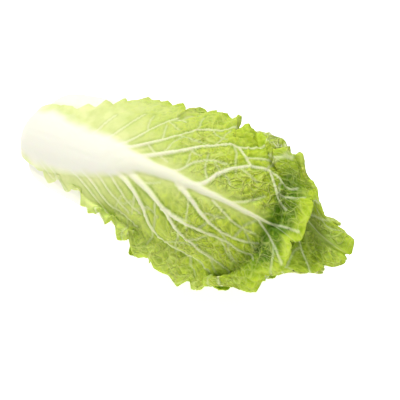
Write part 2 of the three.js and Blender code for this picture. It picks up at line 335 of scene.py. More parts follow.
def noise(x, y, size, seed):
    """Smooth noise from -1 to 1 with features of about the given size."""
    table = np.random.default_rng(seed).random((TABLE_SIZE, TABLE_SIZE)) * 2 - 1
    u, v = x / size, y / size
    iu, iv = np.floor(u).astype(int), np.floor(v).astype(int)
    fu, fv = u - iu, v - iv
    fu, fv = fu * fu * (3 - 2 * fu), fv * fv * (3 - 2 * fv)
    below = lerp(on_table(table, iu, iv), on_table(table, iu + 1, iv), fu)
    above = lerp(on_table(table, iu, iv + 1), on_table(table, iu + 1, iv + 1), fu)
    return lerp(below, above, fv)


# ---- veins ----------------------------------------------------------------------------------------------

# The veins of the outermost leaf in millimetres: [along the rib from the base, across from it, the lower side
# being positive], then the vein's half width where it leaves the rib and at its end.
FRONT_VEINS = [
    ([(84, -14), (87, -27), (90, -38)], 0.9, 0.5),
    ([(99, -14), (107, -31), (113, -49)], 1.1, 0.5),
    ([(112, -12), (125, -27), (133, -42), (139, -51), (150, -55)], 1.4, 0.6),
    ([(114, -10), (136, -22), (147, -31), (157, -40), (165, -51), (178, -57), (190, -66)], 2.2, 0.6),
    ([(128, -7), (146, -15), (163, -24), (175, -33), (191, -43), (202, -46), (212, -39), (218, -35)],
     2.8, 0.9),
    ([(202, -46), (214, -54), (227, -62)], 1.3, 0.6),
    ([(212, -39), (228, -48), (243, -50)], 1.1, 0.6),
    ([(163, -6), (173, -11), (180, -20), (191, -26), (203, -28)], 1.3, 0.6),
    ([(187, -3), (196, -8), (203, -20), (214, -31), (225, -37), (236, -39), (245, -36), (253, -37)],
     2.6, 1.0),
    ([(232, -38), (240, -30), (247, -22), (256, -18)], 1.4, 0.9),
    ([(244, -26), (252, -27), (261, -31)], 1.1, 0.7),
    ([(218, -1), (229, -8), (238, -18)], 0.9, 0.5),
    ([(240, -1), (252, -2), (262, -6), (270, -9)], 1.5, 0.8),
    ([(240, -1), (249, 5), (258, 11), (266, 14)], 1.4, 0.7),
    ([(38, 16), (50, 28), (62, 35)], 1.0, 0.5),
    ([(48, 18), (62, 30), (74, 38), (84, 45)], 1.1, 0.5),
    ([(70, 15), (84, 22), (98, 30), (114, 41), (124, 48)], 1.4, 0.6),
    ([(84, 13), (103, 24), (121, 36), (137, 40), (150, 46)], 1.7, 0.6),
    ([(98, 10), (119, 24), (130, 30), (141, 36)], 1.2, 0.5),
    ([(112, 8), (129, 20), (140, 28), (152, 33)], 1.2, 0.5),
    ([(120, 7), (133, 11), (149, 22), (163, 41), (179, 53), (201, 56), (214, 62)], 2.8, 0.5),
    ([(134, 4), (155, 12), (171, 21), (190, 36), (207, 45), (221, 51), (234, 57)], 3.6, 0.5),
    ([(171, 21), (190, 26), (211, 28), (227, 28), (238, 31), (246, 30)], 2.5, 0.5),
    ([(183, 2), (193, 8), (203, 15), (215, 21), (229, 22), (240, 20), (247, 18)], 2.6, 0.5),
    ([(207, 2), (219, 8), (231, 12), (243, 11)], 1.0, 0.5),
]
# The outermost leaf's rib in millimetres: [along from the base, across to its middle, half width]
FRONT_RIB = [
    (0, 1, 13), (18, 1.5, 21), (33, 1.5, 23.5), (53, 2, 22), (76, 1.5, 18.5), (95, 0, 16.8),
    (107, -1.5, 15.4), (118, -2.5, 12.6), (128, -3.5, 9), (141, -4.5, 5.9), (156, -5, 4.6), (170, -5, 4),
    (186, -3.5, 3.2), (205, -1.5, 2.4), (229, -0.5, 1.7), (240, -1, 1.2), (248, -1.5, 0.1),
]

VEIN_BREADTH = 0.82
VEIN_TAPER = 0.7
VEIN_STEP = 3  # the length of the straight pieces that a vein is drawn in
# a vein that leaves this near the rib's middle and before this place along it has a widened root
VEIN_ROOT = Sizes(near_rib=18, last=200, length=7, widening=1.5)
TWIGS_FROM = 125  # how far along the leaf the small veins begin
# The small veins: from one to the next and their length, in millimetres with their spreads; how far each bend
# goes ahead and aside; and their half width: as a share of the vein's, at most, and at their end.
TWIG = Sizes(spacing=30, first=(0.6, 1.2), more=(0.35, 0.8), length=17, lengths=(0.6, 1.25), bends=3,
             bend=0.33, ahead=(0.2, 1.3), aside=(0.7, 1.2), from_end=3, share=0.5, widest=0.65, end=0.3)
# The side veins by rule: millimetres to the first and from one to the next (at the base and the tip), how
# much they lean towards the tip, the shares of the way to the margin at which they are given, and their half
# width.
SIDE_VEIN = Sizes(first=40, scatter=8, last=0.93, spacing=(15, 24), spread=(0.85, 1.2), root=0.6,
                  lean=(1.3, 0.75), straighten=0.25, shares=(0.3, 0.55, 0.8, 0.97), wander=3, from_end=4,
                  strong=(1.2, 2.1), strongest=(0.5, 0.25), strengths=(0.85, 1.15), end=0.6)
SIDE_VEINS_SPREAD = (0.2, 0.8)

NO_VEIN = 60.0
VEIN_FELT = 9  # a vein changes nothing farther away than this
STRONG_VEIN = 1.6  # a vein of this half width or more is as white as one gets
VEIN_CONTRAST = 0.65
VEIN_FLANK = 1.05
VEIN_WHITE = (0.4, 1.4)  # in half widths
LEAST_WHITE = 0.9
FLANK_SHADE_AT = (1.0, 1.1)  # painted shade beside a vein, where a crease runs: how far from its side, and its half width


def drawn(points, start, end):
    """A vein's straight pieces [along, across, along, across, half width, half width], on a smooth curve."""
    p = np.array(points, float)
    ends = np.vstack([2 * p[0] - p[1], p, 2 * p[-1] - p[-2]])
    line = []
    for i in range(len(p) - 1):
        a, b, c, d = ends[i:i + 4]
        n = max(2, int(np.hypot(*(c - b)) / VEIN_STEP))
        t = np.linspace(0, 1, n, endpoint=False)[:, None]
        square, cube = 2 * a - 5 * b + 4 * c - d, 3 * b - a - 3 * c + d
        line.append(0.5 * (2 * b + (c - a) * t + square * t ** 2 + cube * t ** 3))
    line = np.vstack(line + [p[-1:]])
    width = VEIN_BREADTH * lerp(start, end, np.linspace(0, 1, len(line)) ** VEIN_TAPER)
    return np.hstack([line[:-1], line[1:], width[:-1, None], width[1:, None]])


def rooted(points, start, end):
    """A side vein that leaves the rib or another vein on a widened root."""
    vein = drawn(points, start, end)
    if abs(points[0][1]) > VEIN_ROOT.near_rib or points[0][0] > VEIN_ROOT.last:
        return vein
    first, second = np.array(points[:2], float)
    behind = first - (second - first) / np.hypot(*(second - first)) * VEIN_ROOT.length
    return np.vstack([drawn([behind, first], start * VEIN_ROOT.widening, start), vein])


def branches(vein, rng):
    """Small veins that leave a side vein to both sides in turn and lean towards its end."""
    start, way = vein[:, :2], vein[:, 2:4] - vein[:, :2]
    length = np.hypot(*way.T)
    run = np.cumsum(length)
    made, at, side = [], TWIG.spacing * rng.uniform(*TWIG.first), 1 if rng.random() < 0.5 else -1
    while at < run[-1] - TWIG.from_end:
        i = int(np.searchsorted(run, at))
        ahead = way[i] / length[i]
        beside = np.array([-ahead[1], ahead[0]]) * side
        reach = TWIG.length * rng.uniform(*TWIG.lengths)
        points = [start[i]]
        for _ in range(TWIG.bends):
            bend = ahead * rng.uniform(*TWIG.ahead) + beside * rng.uniform(*TWIG.aside)
            points.append(points[-1] + bend * reach * TWIG.bend)
        made.append(drawn(points, min(vein[i, 4] * TWIG.share, TWIG.widest), TWIG.end))
        at += TWIG.spacing * rng.uniform(*TWIG.more)
        side = -side
    return made


def side_veins(leaf, rng):
    """Side veins by rule: they leave the rib in turn, lean towards the tip and bend to the margin."""
    rule, veins, length = SIDE_VEIN, [], leaf["reach"] * MERIDIAN
    for side in (-1, 1):
        at = rule.first + rng.uniform(0, rule.scatter)
        while at < length * rule.last:
            a = at / length
            out = leaf["width"] * blade_share(a)
            root = float(rib_half_width(a)) * rule.root
            lean = lerp(*rule.lean, a) * rng.uniform(*rule.spread)
            points = [(at, side * root)]
            for share in rule.shares:
                across = root + (out - root) * share
                along = at + lean * (across - root) * (1 - rule.straighten * share)
                along = along + rng.uniform(-rule.wander, rule.wander)
                points.append((min(along, length - rule.from_end), side * across))
            strong = lerp(*rule.strong, float(bump(rule.strongest, a))) * rng.uniform(*rule.strengths)
            veins.append((points, strong, rule.end))
            at += lerp(*rule.spacing, float(ramp(SIDE_VEINS_SPREAD, a))) * rng.uniform(*rule.spread)
    return veins


def vein_field(pieces, along, across):
    """The veins at each point: how far the nearest is in millimetres, and the relief, the white and the painted
    shade beside them that they give it, from 0 up."""
    near = np.full(along.shape, NO_VEIN)
    relief, white, flank_shade = np.zeros(along.shape), np.zeros(along.shape), np.zeros(along.shape)
    for l0, w0, l1, w1, r0, r1 in pieces:
        close = np.flatnonzero((along > min(l0, l1) - VEIN_FELT) & (along < max(l0, l1) + VEIN_FELT)
                               & (across > min(w0, w1) - VEIN_FELT) & (across < max(w0, w1) + VEIN_FELT))
        if not len(close):
            continue
        dl, dw = l1 - l0, w1 - w0
        onto = (along[close] - l0) * dl + (across[close] - w0) * dw
        t = np.clip(onto / (dl * dl + dw * dw + 1e-9), 0, 1)
        distance = np.hypot(along[close] - l0 - t * dl, across[close] - w0 - t * dw)
        half = lerp(r0, r1, t)
        strength = np.minimum(half / STRONG_VEIN, 1) ** VEIN_CONTRAST
        near[close] = np.minimum(near[close], distance / np.sqrt(strength))
        relief[close] = np.maximum(relief[close], half * np.exp(-(distance / (half * VEIN_FLANK)) ** 2))
        seen = strength * (1 - ramp(VEIN_WHITE, distance / np.maximum(half, LEAST_WHITE)))
        white[close] = np.maximum(white[close], seen)
        beside = strength * bump(FLANK_SHADE_AT, distance - half)
        flank_shade[close] = np.maximum(flank_shade[close], beside)
    return near, relief, white, flank_shade


# ---- margins and tips -----------------------------------------------------------------------------------

# The outermost leaf's margins: the notches between its lobes as [along, half width there], and the half width
# of each lobe.
FRONT_MARGINS = {
    -1: ([(-20, 20), (20, 26), (36, 29), (52, 31), (66, 43), (78, 49), (88, 55), (143, 60), (163, 75),
          (190, 63), (216, 52), (234, 45), (262, 38)],
         [24, 30, 32, 40, 50, 57, 77, 86, 81, 66, 52, 53]),
    1: ([(-20, 20), (34, 29), (45, 29), (60, 31), (65, 32), (79, 34), (89, 35), (116, 39), (129, 42),
         (151, 44), (171, 62), (222, 66), (246, 42), (262, 28)],
        [29, 30.5, 38, 31, 39, 35, 45, 48, 56, 68, 82, 60, 36]),
}
# Its tip: the notches as [across, how far they fall back], and how far each lobe does.
FRONT_TIP = ([(-80, 4), (-58, 3), (-29, 5), (1, 14), (27, 14), (47, 12), (80, 12)], [-2, -5, 5, 8, 10, 16])
# How strongly each of these lobes stands out: on the upper margin, on the lower one and at the tip.
FRONT_LIFT = [
    [0.4, 0.4, 0.4, 0.5, 0.8, 0.8, 0.6, 0.5, 0.35, 0.4, 0.3, 0.9],
    [0.5, 0.4, 0.5, 0.3, 0.5, 0.4, 0.5, 0.45, 0.6, 0.7, 0.6, 0.8],
    [0.8, 1.9, 1.5, 1.1, 0.8, 0.4],
]
FIRST_LOBES = {-1: 0, 1: 40, "tip": 60}  # the numbers that the lobes of each margin and the tip start from
LOBE_NUMBERS = 80
LOBE_LIFT = (0.35, 1.5)  # how strongly a lobe by rule stands out
FULL_LOBE = 28  # a lobe of this length or more stands out in full
LEAST_LOBE = 0.1

# lobes by rule: how many go into a leaf's half width, the spread of their lengths, and their widths there as
# shares of the half width, or in millimetres at a tip
MARGIN_RULE = Sizes(start=-20, start_width=0.9, lobes=3.4, lengths=(0.55, 1.35), peaks=(0.98, 1.05),
                   notches=(0.8, 0.92), samples=60)
TIP_RULE = Sizes(reach=0.9, lobes=3.8, lengths=(0.6, 1.3), peaks=(-2, 2), notches=(5, 9), last=7)
SCALLOP_RULE = Sizes(count=90, start=-120, lengths=(0.55, 1.45), depths=(0.35, 1), roundness=0.97)

SIDE_SCALLOPS = (10, 1.5)  # small lobes on the side margins: from one to the next, and their depth
TIP_SCALLOPS = (10, 1.7)
SCALLOP_SHIFT = 41  # so that the two margins have different ones
EDGE_OUTWARDS = 0.4
CUT_BAND = (0.5, 1)  # shares of the half width over which a margin is cut to its outline
CUT_STARTS = (0.02, 0.12)
TUCKED_AT = (0.36, 0.27)
TUCK_CLEARANCE = 2.6  # a tucked margin lies over the table, not on it
WIDEST = (64, 73)  # the lobes on the near side are held in between these distances from the middle

# frills: each lobe is cupped and stands out by its own amount, and its edge ripples
SIDE_TO_TIP = (-5, 5)
TIP_EDGE = 1.1
FRILL_REACH = (12, 1.3)  # how far in they go, and how suddenly they end
FRILL_STARTS = (0.05, 0.3)
PRESSED_FRILL = 0.15
CUP = 5.2
CUP_LEVEL = 1.2
RIPPLE = Sizes(height=1.1, length=12.5, reach=6, wobble=6, wobble_size=23, inwards=0.4, sides=300, tips=400)
BULGE = 1.9  # each lobe bulges this far over the notches beside it, as a ruffle does
BULGE_STARTS = (0, 0.3)


def arches(ends, peaks, run):
    """An outline of rounded lobes between notches, and for each point its place on its lobe from 0 to 1, the
    lobe's number, and how fully a lobe of that length stands out."""
    at, low = np.array(ends, float).T
    which = np.clip(np.searchsorted(at, run) - 1, 0, len(at) - 2)
    t = np.clip((run - at[which]) / (at[which + 1] - at[which]), 0, 1)
    crest = np.clip(1 - (2 * t - 1) ** 2, 0, 1) ** 0.5
    outline = lerp(lerp(low[which], low[which + 1], t), np.array(peaks, float)[which], crest)
    return outline, t, which, np.clip(np.diff(at)[which] / FULL_LOBE, LEAST_LOBE, 1)


def margin_run(leaf, a):
    """How far along the head a leaf's side margin is, in millimetres."""
    return leaf["reach"] * a * (1 - TIP_ROUNDING * ramp(TIP_ROUNDS, a)) * MERIDIAN


def lobed_margin(leaf, rng):
    """The notches and lobes of a side margin by rule."""
    rule = MARGIN_RULE
    shares = np.linspace(0, 1, rule.samples)
    runs, halves = margin_run(leaf, shares), leaf["width"] * blade_share(shares)
    lobe = leaf["width"] / rule.lobes
    ends, peaks = [(rule.start, np.interp(0, runs, halves) * rule.start_width)], []
    while ends[-1][0] < leaf["reach"] * MERIDIAN:
        at = ends[-1][0] + lobe * rng.uniform(*rule.lengths)
        peaks.append(np.interp((ends[-1][0] + at) / 2, runs, halves) * rng.uniform(*rule.peaks))
        ends.append((at, np.interp(at, runs, halves) * rng.uniform(*rule.notches)))
    return ends, peaks


def lobed_tip(leaf, rng):
    """The notches and lobes of a tip by rule: how far each falls back."""
    rule = TIP_RULE
    reach, ends, peaks = leaf["width"] * rule.reach, [], []
    at = -reach
    while at < reach:
        ends.append((at, rng.uniform(*rule.notches)))
        at += leaf["width"] / rule.lobes * rng.uniform(*rule.lengths)
        peaks.append(rng.uniform(*rule.peaks))
    return ends + [(at, rule.last)], peaks


def scallops(run, spacing, depth, seed):
    """How far an outline falls back between small rounded lobes, along a run in millimetres."""
    rule, rng = SCALLOP_RULE, np.random.default_rng(seed)
    ends = np.cumsum(spacing * rng.uniform(*rule.lengths, rule.count)) + rule.start
    depths = depth * rng.uniform(*rule.depths, rule.count)
    which = np.clip(np.searchsorted(ends, run), 1, rule.count - 1)
    place = (run - ends[which - 1]) / (ends[which] - ends[which - 1]) * 2 - 1
    rounded = 1 - np.sqrt(np.clip(1 - rule.roundness * place ** 2, 0, 1))
    return rounded * np.where(place < 0, depths[which - 1], depths[which])


def cut_outline(index, a, b, run, rng):
    """Cuts a leaf to its lobed outline. For each point: its share of the meridian, its distance from the rib
    in millimetres, how far it is tucked in, and its lobe on the side margin and at the tip."""
    leaf, side, away = LEAVES[index], np.sign(b), np.abs(b)
    half = leaf["width"] * blade_share(a)
    rounding = np.where(b < 0, leaf.get("slope", TIP_ROUNDING), TIP_ROUNDING)
    share = leaf["reach"] * a * (1 - rounding * b * b * ramp(TIP_ROUNDS, a))

    margins = FRONT_MARGINS if index == 0 else {way: lobed_margin(leaf, rng) for way in (-1, 1)}
    tip = FRONT_TIP if index == 0 else lobed_tip(leaf, rng)
    width, place, number, full = np.copy(half), np.zeros_like(a), np.zeros(a.shape, int), np.ones_like(a)
    for way, (ends, peaks) in margins.items():
        here = side == way
        width[here], place[here], number[here], full[here] = arches(ends, peaks, run[here])
        number[here] += FIRST_LOBES[way]
    width = width - scallops(run + SCALLOP_SHIFT * side, *SIDE_SCALLOPS, seed_for("scallops", index))
    width = width + EDGE_OUTWARDS
    across = b * half - side * (half - width) * ramp(CUT_BAND, away) * ramp(CUT_STARTS, a)
    tucked = leaf.get("tuck", 0) * bump(TUCKED_AT, a) * ramp((0, 1), -b)
    across = across * (1 - tucked)

    tip_cut, tip_place, tip_number, tip_full = arches(*tip, across)
    tip_cut = tip_cut + scallops(across, *TIP_SCALLOPS, seed_for("tip_scallops", index))
    share = share - (tip_cut + leaf.get("short", 0)) / MERIDIAN * ramp(TIP_BAND, a)
    tip_number = tip_number + FIRST_LOBES["tip"]
    return share, across, tucked, (place, number, full), (tip_place, tip_number, tip_full)


def frills(index, a, side, across, run, to_side, to_tip, open_, lobe, tip_lobe, rng):
    """What a leaf's frills add at each point, in millimetres: to its height, to its place along, and to its
    place across, which turns it round the head."""
    (place, number, full), (tip_place, tip_number, tip_full) = lobe, tip_lobe
    lift = rng.uniform(*LOBE_LIFT, LOBE_NUMBERS)
    if index == 0:
        for first, lifts in zip(FIRST_LOBES.values(), FRONT_LIFT):
            lift[first:first + len(lifts)] = lifts
    side_lift, tip_lift = lift[number] * full, lift[tip_number] * tip_full
    to_edge, by_side = np.minimum(to_side, to_tip * TIP_EDGE), ramp(SIDE_TO_TIP, to_tip - to_side)
    cup = lerp(tip_lift * np.sin(np.pi * tip_place), side_lift * np.sin(np.pi * place), by_side)
    reach_in = np.exp(-(to_edge / FRILL_REACH[0]) ** FRILL_REACH[1])
    frill = reach_in * ramp(FRILL_STARTS, a) * lerp(PRESSED_FRILL, 1, open_)
    edge_run = np.where(to_side < to_tip, run * side + RIPPLE.sides, across + RIPPLE.tips)
    wobble = noise(edge_run, RIPPLE.inwards * to_edge, RIPPLE.wobble_size, seed_for("ripple", index))
    ripple = np.sin(2 * np.pi * (edge_run + RIPPLE.wobble * wobble) / RIPPLE.length)
    ripple = RIPPLE.height * ripple * np.exp(-to_edge / RIPPLE.reach)
    bulge = -BULGE * frill * side_lift * np.sin(2 * np.pi * place) * ramp(BULGE_STARTS, a)
    tip_bulge = -BULGE * frill * tip_lift * np.sin(2 * np.pi * tip_place)
    return frill * (CUP * cup - CUP_LEVEL + ripple), bulge * by_side, tip_bulge * (1 - by_side)


# ---- the ground between the veins -----------------------------------------------------------------------

# heights and sizes in millimetres
WARP = (2.8, 15)  # the patterns are bent by this much, over this size
JITTER = (1.1, 5)
SWELLS = (0.9, 13)
FINE_SWELLS = (0.6, 6.5)  # as a share of the others
NET = Sizes(size=10.5, height=0.8, breadth=1.5, line=0.6)
FINE_NET = Sizes(size=5, height=0.3, breadth=0.9, line=0.5)
NET_LEVEL = 0.35
NET_LEAN = 0.5
CREASES = Sizes(size=9, height=1.2, sharpness=4, level=0.4)
WRINKLES = Sizes(size=5.2, height=0.9, sharpness=5, level=0.3)
CREASE_LEAN = (0.8, 0.6)
WRINKLE_BEND = 2
GROOVE = (1.3, 0.6, 3.2)  # beside a vein: its depth, its level and its half width
STRINGS = (0.18, 3.2, 0.08)  # along the rib: their height and size, and how much shorter they are drawn
VEIN_RELIEF = 1.2
VEIN_ON_RIB = 0.15
PRESSED_VEIN = 0.3
PRESSED_GROUND = 0.45
PROUD_HEIGHT = 0.45  # a point that stands this much above the ground round it stands out in full
GROUND_ROUNDS = 7

CRINKLED_FROM = (0.32, 0.9)
LEAST_CRINKLED = 0.1
CRINKLED_BESIDE = 0.0055  # what a millimetre from the rib counts, as a share of the leaf's length
CRINKLED_EDGE = (0.75, 9)  # how much is left at the edge, and how far in it is back in full
OFF_RIB = (-2, 12)
OFF_RIB_NARROWS = (2.2, (0.5, 0.8))

FLESH_BAND = (0.7, 1.15)  # in half widths of the rib
FLESH_THINS = (0.35, 0.8)
BLADE_THICKNESS = 0.8
FLESH_THICKNESS = 1.7
MOST_THICKNESS = 2.5


def fold(kind, x, y, seed):
    """Sharp folds where a smooth noise passes through its middle."""
    ridge = 1 - np.abs(noise(x, y, kind.size, seed))
    return kind.height * (ridge ** kind.sharpness - kind.level)


def mesh_walls(net, border):
    return net.height * (np.exp(-border / net.breadth) - NET_LEVEL)


def blisters(index, along, over, b, half, near):
    """What swells and folds between a leaf's veins, in millimetres, and the lines of its two nets."""
    side, lean = np.sign(b), over - CREASE_LEAN[0] * along * np.sign(b)
    warp = [WARP[0] * noise(along, over, WARP[1], seed_for(way, index))
            for way in ("warp_along", "warp_over")]
    jitter = JITTER[0] * noise(along, over, JITTER[1], seed_for("jitter", index))
    leaning = along + warp[0] + jitter - NET_LEAN * np.abs(b) * half
    border = cells(leaning, over + warp[1] - jitter, NET.size, seed_for("net", index))
    fine_border = cells(along + warp[1] - jitter, over - warp[0] + jitter, FINE_NET.size,
                        seed_for("fine_net", index))
    groove = 1 - np.exp(-(near / GROOVE[2]) ** 2)
    swells = noise(along, over, SWELLS[1], seed_for("swells", index))
    swells = swells + FINE_SWELLS[0] * noise(along, over, FINE_SWELLS[1], seed_for("fine_swells", index))
    walls = mesh_walls(NET, border) + mesh_walls(FINE_NET, fine_border)
    folds = fold(CREASES, lean, along + CREASE_LEAN[1] * over * side, seed_for("creases", index))
    folds = folds + fold(WRINKLES, lean + WRINKLE_BEND * warp[0], along + WRINKLE_BEND * warp[1],
                         seed_for("wrinkles", index))
    height = SWELLS[0] * swells + walls * groove + GROOVE[0] * (groove - GROOVE[1]) + folds
    return height, np.exp(-(border / NET.line) ** 2), np.exp(-(fine_border / FINE_NET.line) ** 2)


def standing_out(height, rows, columns):
    """How far each point of a grid stands above the ground round it, from -1 to 1."""
    level = height.reshape(rows + 1, columns + 1)
    for _ in range(GROUND_ROUNDS):
        level = np.pad(level, 1, mode="edge")
        level = (level[:-2] + 2 * level[1:-1] + level[2:]) / 4
        level = (level[:, :-2] + 2 * level[:, 1:-1] + level[:, 2:]) / 4
    return np.clip((height - level.ravel()) / PROUD_HEIGHT, -1, 1)


def run_over(points, rows, columns):
    """How far each point is from the middle of its row over the leaf's waves, in millimetres."""
    grid = points.reshape(rows + 1, columns + 1, 3)
    steps = np.linalg.norm(np.diff(grid, axis=1), axis=-1)
    run = np.hstack([np.zeros((rows + 1, 1)), np.cumsum(steps, axis=1)])
    return (run - run[:, columns // 2, None]).ravel()


# ---- meshes ---------------------------------------------------------------------------------------------


def select_only(piece):
    bpy.ops.object.select_all(action="DESELECT")
    piece.select_set(True)
    bpy.context.view_layer.objects.active = piece


def points_of(piece):
    """The places of a piece's vertices, one in a row."""
    flat = np.empty(len(piece.data.vertices) * 3)
    piece.data.vertices.foreach_get("co", flat)
    return flat.reshape(-1, 3)


def grid_piece(name, rows, columns):
    """A flat grid of cells, and its vertices' shares along (0 to 1) and across (-1 to 1)."""
    bpy.ops.object.select_all(action="DESELECT")
    bpy.ops.mesh.primitive_grid_add(x_subdivisions=columns, y_subdivisions=rows, size=2)
    piece = bpy.context.object
    piece.name = piece.data.name = name
    points = points_of(piece)
    return piece, (points[:, 1] + 1) / 2, points[:, 0]


def set_points(piece, points):
    piece.data.vertices.foreach_set("co", (points * MM).ravel())
    piece.data.update()


def mark(piece, name, values):
    """Keeps a value at each point, which the material reads."""
    layer = piece.data.attributes.new(name, "FLOAT", "POINT")
    layer.data.foreach_set("value", values.astype(np.float32))


def lay_uv(piece, along, across):
    """Keeps each point's place on the flat leaf, in metres, as the piece's UV map."""
    corners = np.empty(len(piece.data.loops), dtype=np.int32)
    piece.data.loops.foreach_get("vertex_index", corners)
    layer = piece.data.uv_layers[0] if piece.data.uv_layers else piece.data.uv_layers.new(name="leaf")
    layer.name = "leaf"
    layer.data.foreach_set("uv", np.stack([along[corners], across[corners]], -1).ravel() * MM)


def thicken(piece, thickness, share):
    """Gives a sheet its thickness on its inner side, a share of it at each point, and applies it."""
    group = piece.vertex_groups.new(name="flesh")
    for level in np.unique(np.round(share, 2)):
        group.add([int(i) for i in np.flatnonzero(np.round(share, 2) == level)], float(level), "REPLACE")
    solid = piece.modifiers.new("flesh", "SOLIDIFY")
    solid.thickness = thickness * MM
    solid.offset = -1
    solid.use_even_offset = False
    solid.use_rim = True
    solid.vertex_group = group.name
    select_only(piece)
    bpy.ops.object.modifier_apply(modifier=solid.name)
    bpy.ops.object.shade_smooth()
    piece.vertex_groups.clear()


def finished(piece, material, slot, *nodes):
    """Gives a piece its material and its place in the frame."""
    piece.data.materials.clear()
    piece.data.materials.append(material)
    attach(piece, "root")
    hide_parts(*nodes)


# ---- leaves ---------------------------------------------------------------------------------------------

TIP_ROWS = 0.35  # how much closer together the rows lie at the tip, where the leaf is finest

# what the material is told at each point of a leaf
# painted shade: a darker green in the valley before the outermost leaf's rim, where shade falls, and a weaker
# one towards the ends of the other leaves
DEEP_SHADE = Sizes(front=2.8, widen=1.15, others=0.45, reach=(0.62, 0.85), from_edge=(3, 12))
SPECKLE = (0.12, 9)
RIB_WHITE = Sizes(band=(0.7, 1.25), narrows=(0.6, 0.95), end=0.35, least=0.6, fades=(0.86, 0.95), faded=0.7,
                 base=(0.02, 0.12))
UNEVEN = Sizes(middle=0.55, spread=0.55, size=21, least=0.12, most=0.85)
GROWN = Sizes(along=(0.1, 0.85), beside=(0, 45), lengthways=30)
EDGE_GREEN_AND_GLOW = (8, (0.2, 0.5))  # how far in the fresher green of the edge goes, and where along it begins; it is the margin's own green, brightened as painted light shining through the thin edge
NET_WHITE = (0.6, 0.25)
# painted shade: darker green in the hollows of the relief, and in the creases beside the veins
HOLLOW_SHADE = (0.6, 0.6)
# in the valley's painted shade the veins, the net and the painted highlights lose this much of their paleness
IN_VALLEY = Sizes(vein=0.15, net=0.4, high=0.5)  # how much of each is lost there
VEIN_SMOOTHS = 0.7
INNER_LEAVES = (3, 7)  # from this leaf on they pale, to this one


def tell_material(piece, index, a, flat, rib, to_edge, proud, crinkled, deep, lines):
    """Keeps what a leaf's colours and fine wrinkles depend on, at each point."""
    (along, across, over), (from_rib, rib_half, off_rib), (white, flank_shade, net, fine_net) = flat, rib, lines
    speckle = SPECKLE[0] * noise(along, across, SPECKLE[1], seed_for("speckle"))
    seen_half = rib_half * lerp(1, RIB_WHITE.end, ramp(RIB_WHITE.narrows, a)) if index else rib_half
    rib_white = 1 - ramp(RIB_WHITE.band, from_rib / np.maximum(seen_half, RIB_WHITE.least) + speckle)
    rib_white = rib_white * (1 - RIB_WHITE.faded * ramp(RIB_WHITE.fades, a))
    uneven = UNEVEN.middle + UNEVEN.spread * noise(along, over, UNEVEN.size, seed_for("uneven", index))
    uneven = np.clip(uneven, UNEVEN.least, UNEVEN.most)
    # painted shade: darker where the ground lies below what is round it, and beside veins
    low = HOLLOW_SHADE[0] * crinkled * np.maximum(-proud, 0) + HOLLOW_SHADE[1] * flank_shade * off_rib
    net_white = np.maximum(NET_WHITE[0] * net, NET_WHITE[1] * fine_net) * crinkled * uneven
    grown_beside = ramp(GROWN.beside, from_rib - rib_half + GROWN.lengthways * a)
    mark(piece, "rib", np.maximum(rib_white, 1 - ramp(RIB_WHITE.base, a)))
    mark(piece, "vein", white * (1 - IN_VALLEY.vein * deep))
    mark(piece, "net", net_white * (1 - IN_VALLEY.net * deep))
    mark(piece, "grown", ramp(GROWN.along, a) * grown_beside)
    mark(piece, "edge", np.exp(-(to_edge / EDGE_GREEN_AND_GLOW[0]) ** 2) * ramp(EDGE_GREEN_AND_GLOW[1], a))
    mark(piece, "low", np.clip(low, 0, 1) * (1 - white))
    # painted highlight: lighter green on points that stand above the ground round them, less in the valley
    mark(piece, "high", crinkled * np.maximum(proud, 0) * (1 - white) * (1 - IN_VALLEY.high * deep))
    mark(piece, "deep", deep)
    mark(piece, "inner", np.full(a.shape, ramp(INNER_LEAVES, index)))
    mark(piece, "crinkled", crinkled * uneven * (1 - VEIN_SMOOTHS * white))


